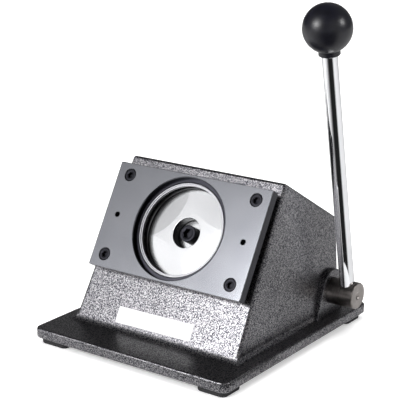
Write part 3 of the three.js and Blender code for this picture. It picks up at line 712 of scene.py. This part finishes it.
def side_prism(outline, x0, x1):
    """A (y, z) outline extruded along X."""
    mesh = prism(outline, x0, x1)
    mesh.transform(Matrix(((0, 0, 1, 0), (1, 0, 0, 0), (0, 1, 0, 0), (0, 0, 0, 1))))
    bmesh.ops.recalc_face_normals(mesh, faces=mesh.faces)
    return mesh


def quadratic(start, middle, end, steps):
    """The points of a curve after its start."""
    s, m, e = Vector(start), Vector(middle), Vector(end)
    return [tuple(s.lerp(m, k / steps).lerp(m.lerp(e, k / steps), k / steps))
            for k in range(1, steps + 1)]


def boss_outline():
    """The shaft boss in (y, z): a leaning front, a round shoulder and a top that falls away."""
    rear, top = REAR_Y - 0.4, 40.4
    shoulder, crown = (169.2, 30.4), (184, top)
    points = [(158.6, -1), (163.2, 15.4), shoulder]
    points += quadratic(shoulder, (173.4, top), crown, 10)
    points += quadratic(crown, (192.6, top), (rear - 2, 34), 8)
    return points + [(rear, -1)]


def foot_fillet():
    """The concave cast fillet round the housing's foot, flush with the walls above it."""
    height, reach = CAST_FILLET
    steps, overlap = 6, 0.02
    layers = []
    for k in range(steps + 1):
        turn = math.pi / 2 * k / steps
        out, z = reach * (1 - math.sin(turn)), height * (1 - math.cos(turn))
        x, front, rear = half_width(z) + out - overlap, FRONT_Y + z * COS / SIN - out, REAR_Y + out
        layers.append(([(-x, front), (x, front), (x, rear), (-x, rear)], z))
    return layered(layers)


def make_boss(side):
    """A shaft boss on the right wall for side 1 and on the left wall for side -1."""
    mesh = side_prism(boss_outline(), HALF_WIDTH_HIGH - 4, BOSS_FACE)
    rim = [e for e in mesh.edges if all(abs(v.co.x - BOSS_FACE) < 0.01 for v in e.verts)]
    bevel(mesh, rim, 0.8, 3)
    mesh.transform(Matrix.Diagonal((side, 1, 1, 1)))
    bmesh.ops.recalc_face_normals(mesh, faces=mesh.faces)
    return mesh


def make_lug(x, y):
    """A lug for a base screw and the web that joins it to the side wall."""
    wall = HALF_WIDTH_LOW - 3
    web = slab((wall - LUG_X) / 2, LUG_RADIUS, 0.1, 0.05, -1, LUG_HEIGHT, 1, 1)
    return [moved(cylinder(LUG_RADIUS, -1, LUG_HEIGHT, SMALL), at(x, y)),
            moved(web, at(math.copysign(1, x) * (wall + LUG_X) / 2, y))]


def window_arch():
    """The cutter of the rear wall's arched window."""
    half, spring, steps = WINDOW_HALF_WIDTH, WINDOW_SPRING, 24
    outline = [(-half, -1), (half, -1), (half, spring)]
    for k in range(1, steps):
        turn = math.pi * k / steps
        outline.append((half * math.cos(turn), spring + half * math.sin(turn)))
    outline.append((-half, spring))
    return moved(prism(outline, 0, 40), at(0, REAR_Y + 20) @ Matrix.Rotation(math.pi / 2, 4, "X"))


def face_bores():
    """The small bores square to the front face, for the posts and the plate's fixings."""
    bores = []
    for x in (-SCREW_X, SCREW_X):
        bores += [(cylinder(PLATE_SCREW["shank"] + GAP, -10, 5, TINY), x, up) for up in SCREW_UPS]
        bores.append((cylinder(DOWEL_RADIUS + GAP, -8, 5, segments=24), x, DOWEL_UP))
    for x in (-POST_X, POST_X):
        bores.append((cylinder(POST_RADIUS + GAP, -16, -5, TINY), x, PUNCH_UP))
    return [moved(bore, ONTO_FACE @ at(x, up)) for bore, x, up in bores]


def make_housing():
    """The casting, a leaning hollow wedge with lugs, bosses and bores."""
    outline = [side_point(-BELOW / SIN, 0), side_point(FACE_LENGTH, 0),
               side_point(FACE_LENGTH, -BACK_LENGTH), (REAR_Y + 0.6, -BELOW)]
    inner_up, inner_low = FACE_LENGTH - WALL_TOP, BELOW + 6
    inner_out = -(BACK_LENGTH - WALL_REAR * 1.2)
    hollow = [side_point(-inner_low / SIN, -WALL_FRONT), side_point(inner_up, -WALL_FRONT),
              side_point(inner_up, inner_out), (REAR_Y - WALL_REAR, -inner_low)]
    joins = [part for x, y in LUGS.values() for part in make_lug(x, y)]
    joins += [make_boss(side) for side in (-1, 1)]
    below_base = slab(300, 300, 1, 0.5, -60, 0.05, 1, 1)
    shaft_bore = moved(cylinder(SHAFT_RADIUS + GAP, -300, 300), at(0, SHAFT_Y, SHAFT_Z) @ ACROSS)
    punch_bore = moved(cylinder(GUIDE_RADIUS + GAP, -20, 5, segments=128), ONTO_FACE @ at(0, PUNCH_UP))
    cuts = [below_base, window_arch(), shaft_bore, punch_bore]
    cuts += [moved(cylinder(BASE_SCREW["shank"] + GAP, -1, 17.5, TINY), at(x, y))
             for x, y in LUGS.values()]
    cuts += face_bores()
    piece("housing_casting", wedge(outline, 0, CAST_EDGE), STAND, "hammer_paint", "stand", "housing",
          cuts, joins, before=[(foot_fillet(), "UNION"), (wedge(hollow, WALL_SIDE), "DIFFERENCE")])


# ---------------------------------------------------------------- die plate


def plate_bore(steps, flare, segments):
    """The cutter of a bore through the die plate, from its back: (radius, top) steps, the last
    of which opens to the front with a flare."""
    past = 1
    bottom, front = SLOT - past, PLATE_FRONT + past
    profile = [(0, bottom)]
    for radius, top in steps:
        profile += [(radius, bottom), (radius, top)]
        bottom = top
    return lathe(profile + [(radius + flare, front), (0, front)], segments)


def make_die_plate():
    half_height = (PLATE_HIGH - PLATE_LOW) / 2
    plate = slab(PLATE_HALF_WIDTH, half_height, 0.9, 0.45, SLOT, PLATE_FRONT, 4, 3)
    plate = moved(plate, at(0, (PLATE_HIGH + PLATE_LOW) / 2))
    mouth = plate_bore([(RING_SEAT, MOUTH_FLOOR), (MOUTH, PLATE_FRONT - 0.7)], 1.7, FINE)
    cuts = [moved(mouth, at(0, PUNCH_UP))]
    for x in (-SCREW_X, SCREW_X):
        for up in SCREW_UPS:
            recess = plate_bore([(PLATE_SCREW["shank"] + GAP, SLOT + 2.2),
                                 (PLATE_SCREW["head"] + GAP, PLATE_FRONT - 0.45)],
                                flare=1.5, segments=56)
            cuts.append(moved(recess, at(x, up)))
        hole = plate_bore([(DOWEL_RADIUS + GAP, PLATE_FRONT - 0.35)], 1.35, SMALL)
        cuts.append(moved(hole, at(x, DOWEL_UP)))
    piece("die_plate_body", plate, FACE, "ground_steel", "stand", "die_plate", cuts)


def make_die_ring():
    top, step, outer = MOUTH_FLOOR, MOUTH_FLOOR - 0.9, RING_SEAT - GAP
    ring = eased([(RING_BORE, SLOT), (outer, SLOT), (outer, top - 0.5), (outer - 0.5, top),
                  (RING_RIM, top), (RING_RIM, step), (RING_BORE, step), (RING_BORE, SLOT)], 0.12, 2)
    piece("die_ring_body", lathe(ring, FINE), PUNCH_LINE, "die_steel", "stand", "die_ring")


def make_plate_screw(name, place):
    body, socket = socket_screw(**PLATE_SCREW)
    piece(f"plate_screw_head_{name}", body, place, "black_oxide", "stand",
          f"plate_screw_{name}", [socket])


def make_spacer(name, place):
    hole, outer = PLATE_SCREW["shank"] + GAP, SPACER_RADIUS
    low, high, chamfer = 0.05, SLOT - 0.05, 0.2
    profile = [(hole, low), (outer - chamfer, low), (outer, low + chamfer), (outer, high - chamfer),
               (outer - chamfer, high), (hole, high), (hole, low)]
    piece(f"spacer_{name}", lathe(profile, segments=48), place, "ground_steel", "stand",
          f"slot_spacer_{name}")


def make_dowel(side, place):
    top, tip = PLATE_FRONT - DOWEL_SUNK, -7.5
    pin = lathe(eased([(0, tip), (DOWEL_RADIUS, tip), (DOWEL_RADIUS, top), (0, top)], 0.4), TINY)
    piece(f"dowel_pin_{side}", pin, place, "die_steel", "stand", f"dowel_{side}")


def make_plate_fixings():
    for x, side in ((-SCREW_X, "left"), (SCREW_X, "right")):
        for up, height in zip(SCREW_UPS, ("lower", "upper")):
            make_plate_screw(f"{height}_{side}", FACE @ at(x, up))
            make_spacer(f"{height}_{side}", FACE @ at(x, up))
        make_dowel(side, FACE @ at(x, DOWEL_UP))


# ---------------------------------------------------------------- punch, ram and springs


def ring_profile(inner, outer, low, high):
    """The closed profile of a plain ring."""
    return [(inner, low), (outer, low), (outer, high), (inner, high), (inner, low)]


def make_punch():
    """The punch, whose face is left a four-pointed star by four shallow hollows."""
    face = eased([(PUNCH_HOLE, PUNCH_BACK), (PUNCH_RADIUS, PUNCH_BACK), (PUNCH_RADIUS, 0),
                  (COUNTERBORE, 0), (COUNTERBORE, COUNTERBORE_FLOOR), (PUNCH_HOLE, COUNTERBORE_FLOOR),
                  (PUNCH_HOLE, PUNCH_BACK)], 0.3)
    hollows = []
    for quarter in range(4):
        turn = math.radians(SHEAR_ANGLE + 90 * quarter)
        cone = lathe([(0, -SHEAR_DEPTH), (SHEAR_RADIUS, 0), (SHEAR_RADIUS, 2), (0, 2)], FINE)
        hollows.append(moved(cone, at(SHEAR_REACH * math.cos(turn), SHEAR_REACH * math.sin(turn))))
    piece("punch_disc", lathe(face, FINE), PUNCH_LINE, "punch_steel", "ram", "punch", hollows,
          smooth=1)


def make_punch_fixings():
    washer = lathe(eased(ring_profile(*PUNCH_WASHER), 0.25), MEDIUM)
    piece("punch_washer_ring", washer, PUNCH_LINE, "punch_steel", "ram", "punch_washer")
    body, socket = socket_screw(**PUNCH_SCREW)
    piece("punch_screw_head", body, PUNCH_LINE, "black_oxide", "ram", "punch_screw", [socket])


def make_punch_guide():
    back, front, chamfer = -12, -0.2, 0.5
    guide = eased([(RING_BORE, back), (GUIDE_RADIUS, back), (GUIDE_RADIUS, front),
                   (RING_BORE + chamfer, front), (RING_BORE, front - chamfer), (RING_BORE, back)], 0.1)
    piece("punch_guide_ring", lathe(guide, FINE), PUNCH_LINE, "die_steel", "stand", "punch_guide")


def make_ram():
    """The ram behind the punch, with the cross arm that slides on the posts."""
    top = PUNCH_BACK - GAP
    body = lathe(eased([(0, RAM_REAR), (RAM_RADIUS, RAM_REAR), (RAM_RADIUS, top), (0, top)], 1.6))
    half_across, half_up, arm_rear, arm_front = RAM_ARM
    arm = slab(half_across, half_up, 5, 1.2, arm_rear, arm_front)
    cuts = [cylinder(PUNCH_SCREW["shank"] + GAP, -44.3, -10, SMALL)]
    cuts += [moved(cylinder(POST_RADIUS + 0.5, -120, 0, SMALL), at(x)) for x in (-POST_X, POST_X)]
    piece("ram_body", body, PUNCH_LINE, "cast_iron", "ram", "ram", cuts, [arm])


def make_post(side, place):
    rear, tip = POST_ENDS
    post = lathe(eased([(0, rear), (POST_RADIUS, rear), (POST_RADIUS, tip), (0, tip)], 0.8), SMALL)
    piece(f"post_{side}", post, place, "die_steel", "stand", f"guide_post_{side}")


def make_spring(side, place):
    """A return spring, which the ram presses towards its front end; here it is drawn at full length,
    with a mesh of its own.
    """
    rear, front = SPRING_ENDS
    coil = helix(SPRING_RADIUS, SPRING_WIRE, rear, front, SPRING_TURNS)
    spring = piece(f"spring_{side}", coil, place, "spring_steel", "stand", f"return_spring_{side}")
    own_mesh(spring)


def make_springs():
    for x, side in ((-POST_X, "left"), (POST_X, "right")):
        make_post(side, PUNCH_LINE @ at(x))
        make_spring(side, PUNCH_LINE @ at(x))


# ---------------------------------------------------------------- shaft, cam and lever


def cam_outline():
    """The cam in (y, z): an involute flank that lifts evenly, closed by its round hub."""
    out, up = Vector((-SIN, COS)), Vector((COS, SIN))
    run_in = math.radians(6)
    sweep = math.radians(LEVER_TRAVEL) + 2 * run_in

    def direction(turn):
        return out * math.cos(turn) + up * math.sin(turn)

    points = []
    for k in range(33):
        turn = -run_in + sweep * k / 32
        points.append(direction(turn) * (LIFT_START + LIFT * turn)
                      + direction(turn + math.pi / 2) * LIFT)
    first, last = sweep + math.radians(40), 2 * math.pi - math.radians(20)
    points += [direction(first + (last - first) * k / 40) * CAM_HUB for k in range(41)]
    return [tuple(p) for p in points]


def make_shaft():
    drill_radius, drill_depth = 3.4, 3.2
    profile = eased([(0, SHAFT_LEFT), (SHAFT_RADIUS, SHAFT_LEFT), (SHAFT_RADIUS, SHAFT_RIGHT),
                     (drill_radius, SHAFT_RIGHT), (0, SHAFT_RIGHT - drill_depth)], 0.8, 4)
    lean = Matrix.Rotation(math.radians(LEVER_LEAN), 4, "X")
    end_hole = cylinder(END_SCREW["shank"] + GAP, SHAFT_LEFT - 1, SHAFT_LEFT + 14, TINY)
    cuts = [moved(cylinder(LEVER_RADIUS + GAP, -7, 30), at(LEVER_X) @ lean),
            cylinder(CAM_PIN + GAP, -40, 40, TINY), moved(end_hole, ACROSS)]
    piece("shaft_bar", moved(lathe(profile), ACROSS), SHAFT_LINE, "shaft_steel", "lever",
          "drive_shaft", cuts)


def make_cam():
    cam = side_prism(cam_outline(), -CAM_HALF_WIDTH, CAM_HALF_WIDTH)
    bevel(cam, [e for e in cam.edges if abs(e.verts[0].co.x - e.verts[1].co.x) < 0.01], 0.5, 2)
    cuts = [moved(cylinder(SHAFT_RADIUS + GAP, -40, 40), ACROSS),
            cylinder(CAM_PIN + GAP, -40, 40, TINY)]
    piece("cam_plate", cam, SHAFT_LINE, "cast_iron", "lever", "cam", cuts)
    low, high = -13, 13.2
    pin = lathe(eased([(0, low), (CAM_PIN, low), (CAM_PIN, high), (0, high)], 0.5), TINY)
    piece("cam_key_pin", pin, SHAFT_LINE, "die_steel", "lever", "cam_pin")


def make_shaft_end():
    place = SHAFT_LINE @ at(SHAFT_LEFT - GAP) @ Matrix.Rotation(-math.pi / 2, 4, "Y")
    washer = lathe(eased(ring_profile(*END_WASHER), 0.5), MEDIUM)
    piece("end_washer", washer, place, "die_steel", "lever", "shaft_end_washer")
    body, socket = socket_screw(**END_SCREW)
    piece("end_screw", body, place, "black_oxide", "lever", "shaft_end_screw", [socket])


def make_lever():
    thread, tip = KNOB_CENTRE - KNOB_RADIUS - 2 - GAP, KNOB_CENTRE + 2
    bar = eased([(0, LEVER_BOTTOM), (LEVER_RADIUS, LEVER_BOTTOM), (LEVER_RADIUS, thread),
                 (LEVER_THREAD, thread), (LEVER_THREAD, tip), (0, tip)], 1.4, 5)
    piece("lever_bar", lathe(bar), LEVER, "chrome", "lever", "lever_rod")


def make_knob():
    """A ball with a short collar, drilled for the lever's thread."""
    start, steps = KNOB_CENTRE - KNOB_RADIUS - 2, 48
    first = math.asin(KNOB_NECK / KNOB_RADIUS)
    profile = [(0, start), (KNOB_NECK - 0.5, start), (KNOB_NECK, start + 0.5)]
    for k in range(steps):
        turn = first + (math.pi - first) * k / steps
        profile.append((KNOB_RADIUS * math.sin(turn), KNOB_CENTRE - KNOB_RADIUS * math.cos(turn)))
    profile.append((0, KNOB_CENTRE + KNOB_RADIUS))
    drilling = cylinder(LEVER_THREAD + GAP, 0, KNOB_CENTRE + 2.3, SMALL)
    piece("knob_ball", lathe(profile), LEVER, "black_plastic", "lever", "ball_knob", [drilling])


def make_label():
    film = slab(*LABEL_HALF_SIZE, 1.2, 0.08, *LABEL_FACES, 6, 2)
    place = FACE @ at(*LABEL_PLACE) @ Matrix.Rotation(math.radians(LABEL_TURN), 4, "Z")
    piece("label_film", film, place, "white_film", "stand", "label")


make_base()
for foot, (foot_x, foot_y) in FEET.items():
    make_foot(foot, foot_x, foot_y)
for lug, (lug_x, lug_y) in LUGS.items():
    make_base_screw(lug, lug_x, lug_y)
make_housing()
make_die_plate()
make_die_ring()
make_plate_fixings()
make_punch()
make_punch_fixings()
make_punch_guide()
make_ram()
make_springs()
make_shaft()
make_cam()
make_shaft_end()
make_lever()
make_knob()
make_label()

# ---------------------------------------------------------------- stage and light

FLOOR_HALF_SIZE = 6                # metres, here and below
KEY_DIRECTION = Vector((-0.402, -0.854, 0.328)).normalized()
SIDE_DIRECTION = Vector((0.873, 0.245, 0.420)).normalized()
LIGHT_DISTANCE = 1.2
LIGHT_SIZE = 0.32
LIGHT_POWER = 6.5
FILL_POWER = 2.6
# The world's grey by how far a direction turns towards the key, from 0 opposite to 1 at it.
WORLD_STOPS = [(0.0, 0.15), (0.35, 0.24), (0.5, 0.06), (0.8, 0.1), (0.9, 0.25), (0.95, 0.4),
               (0.988, 5.4)]
RIGHT_GLOW = Vector((0.84, -0.47, 0.29)).normalized()
GLOW_EDGE = 0.8                    # cosine of the angle from its middle where it begins
GLOW_LEVEL = 0.7
# Each card's first and last turn in degrees round the lever from the camera's side, its grey,
# and whether it begins close to the lever instead of past the base.
CARDS = ((-75, -55, 0.6, False), (-55, -42, 0.3, False), (-42, -31, 0.1, False),
         (-31, 31, 0.006, True), (31, 42, 0.4, True), (42, 134, 0.78, False),
         (134, 226, 0.5, False))
CARD_NEAR = 0.09
CARD_FAR = 2.2
CARD_HEIGHT = 0.001
CARD_MARGIN = 0.02                 # between the base and a card that begins past it
CARD_LIGHT = 3.5


def stage_object(name, mesh, finish):
    """Something that belongs to the stage and not to the object; its mesh is in metres."""
    data = bpy.data.meshes.new(name)
    mesh.to_mesh(data)
    mesh.free()
    data.materials.append(finish.material)
    thing = bpy.data.objects.new(name, data)
    bpy.context.scene.collection.objects.link(thing)
    return thing


def make_floor():
    """White paper, a little brighter to the camera than its light makes it."""
    mesh = bmesh.new()
    bmesh.ops.create_grid(mesh, x_segments=2, y_segments=2, size=FLOOR_HALF_SIZE)
    finish = Finish("floor_paper", Specular_IOR_Level=0.2)
    grain = finish.noise(3, 2.0, 0.5)
    finish.colour(finish.ramp(grain, [(0.3, 0.93), (0.7, 0.95)]))
    finish.roughness(grain, 0.85, 0.95)
    finish.glow(finish.node("LightPath").outputs["Is Camera Ray"], 0.3)
    stage_object("floor", mesh, finish)


def area_light(name, direction):
    """A square light box in a direction from the knob, aimed at the knob."""
    data = bpy.data.lights.new(name, "AREA")
    data.shape = "RECTANGLE"
    data.size = data.size_y = LIGHT_SIZE
    data.energy = LIGHT_POWER
    light = bpy.data.objects.new(name, data)
    knob = (LEVER @ Vector((0, 0, KNOB_CENTRE))) * MM
    place = knob + direction * LIGHT_DISTANCE
    turn = (knob - place).to_track_quat("-Z", "Y").to_matrix().to_4x4()
    light.matrix_world = Matrix.Translation(place) @ turn
    bpy.context.scene.collection.objects.link(light)


def make_world():
    """White to the camera. What lights the object is a soft gradient, brightest round the key and
    faint opposite it, and a glow on the right that the die plate shows to someone at the left."""
    world = bpy.data.worlds.new("studio")
    bpy.context.scene.world = world
    world.use_nodes = True
    tree = world.node_tree
    tree.nodes.clear()
    link = tree.links.new

    def add(kind, **settings):
        node = tree.nodes.new("ShaderNode" + kind)
        for name, value in settings.items():
            setattr(node, name, value)
        return node

    coordinates = add("TexCoord").outputs["Generated"]

    def towards(direction, mapping):
        """The mapping of the cosine of the angle from a direction."""
        dot = add("VectorMath", operation="DOT_PRODUCT")
        dot.inputs[1].default_value = direction
        link(coordinates, dot.inputs[0])
        link(dot.outputs["Value"], mapping.inputs["Value"])
        return mapping.outputs["Result"]

    spread = add("MapRange")
    spread.inputs["From Min"].default_value = -1
    ramp = add("ValToRGB")
    while len(ramp.color_ramp.elements) < len(WORLD_STOPS):
        ramp.color_ramp.elements.new(0.5)
    for element, (place, level) in zip(ramp.color_ramp.elements, WORLD_STOPS):
        element.position = place
        element.color = (level, level, level * 1.01, 1)
    link(towards(KEY_DIRECTION, spread), ramp.inputs["Fac"])
    glow = add("MapRange", interpolation_type="SMOOTHSTEP")
    glow.inputs["From Min"].default_value = GLOW_EDGE
    glow.inputs["To Max"].default_value = GLOW_LEVEL
    both = add("VectorMath", operation="ADD")
    link(ramp.outputs["Color"], both.inputs[0])
    link(towards(RIGHT_GLOW, glow), both.inputs[1])
    soft = add("Background")
    link(both.outputs["Vector"], soft.inputs["Color"])
    white = add("Background")
    white.inputs["Color"].default_value = (1, 1, 1, 1)
    mix = add("MixShader")
    link(add("LightPath").outputs["Is Camera Ray"], mix.inputs[0])
    link(soft.outputs[0], mix.inputs[1])
    link(white.outputs[0], mix.inputs[2])
    link(mix.outputs[0], add("OutputWorld").inputs["Surface"])


def make_fill():
    """A wide soft light from overhead that reaches only matt surfaces, above all the floor."""
    data = bpy.data.lights.new("fill", "SUN")
    data.energy = FILL_POWER
    data.angle = math.radians(70)
    light = bpy.data.objects.new("fill", data)
    light.visible_glossy = False
    bpy.context.scene.collection.objects.link(light)


def reach_past_base(centre, turn):
    """How far a ray over the floor runs from the lever before it is past the base."""
    margin = Vector((CARD_MARGIN, CARD_MARGIN))
    low, high = base_low.xy - margin, base_high.xy + margin
    reaches = []
    for place, step, first, last in ((centre.x, math.cos(turn), low.x, high.x),
                                     (centre.y, math.sin(turn), low.y, high.y)):
        if abs(step) > 1e-6:
            reaches.append(((last if step > 0 else first) - place) / step)
    return min(reaches)


def make_card(name, first, last, grey, close):
    """A card lying on the floor, seen only in polished metal. Seen in the painted wall that the
    rod shows, a card is light."""
    centre = (SHAFT_LINE @ Vector((LEVER_X, 0, 0))) * MM
    mesh = bmesh.new()
    steps = 16
    rows = [[], []]
    for k in range(steps + 1):
        turn = math.radians(CAMERA_AZIMUTH - 90 + first + (last - first) * k / steps)
        near = CARD_NEAR if close else reach_past_base(centre, turn)
        for row, reach in zip(rows, (near, CARD_FAR)):
            row.append(mesh.verts.new((centre.x + reach * math.cos(turn),
                                       centre.y + reach * math.sin(turn), CARD_HEIGHT)))
    for k in range(steps):
        mesh.faces.new((rows[0][k], rows[0][k + 1], rows[1][k + 1], rows[1][k]))
    finish = Finish(name + "_cloth", Specular_IOR_Level=0.1)
    finish.colour(finish.ramp(finish.noise(50), [(0.3, grey * 0.9), (0.7, grey)]))
    again = finish.node("Math", operation="GREATER_THAN")
    again.inputs[1].default_value = 1.5
    finish.link(finish.node("LightPath").outputs["Glossy Depth"], again.inputs[0])
    finish.glow(again.outputs["Value"], CARD_LIGHT)
    card = stage_object(name, mesh, finish)
    for ray in ("camera", "diffuse", "shadow", "transmission"):
        setattr(card, f"visible_{ray}", False)


make_floor()
make_world()
make_fill()
for number, card_values in enumerate(CARDS):
    make_card(f"card_{number}", *card_values)
area_light("key_box", KEY_DIRECTION)
area_light("side_box", SIDE_DIRECTION)
bpy.context.scene.view_settings.view_transform = "Standard"
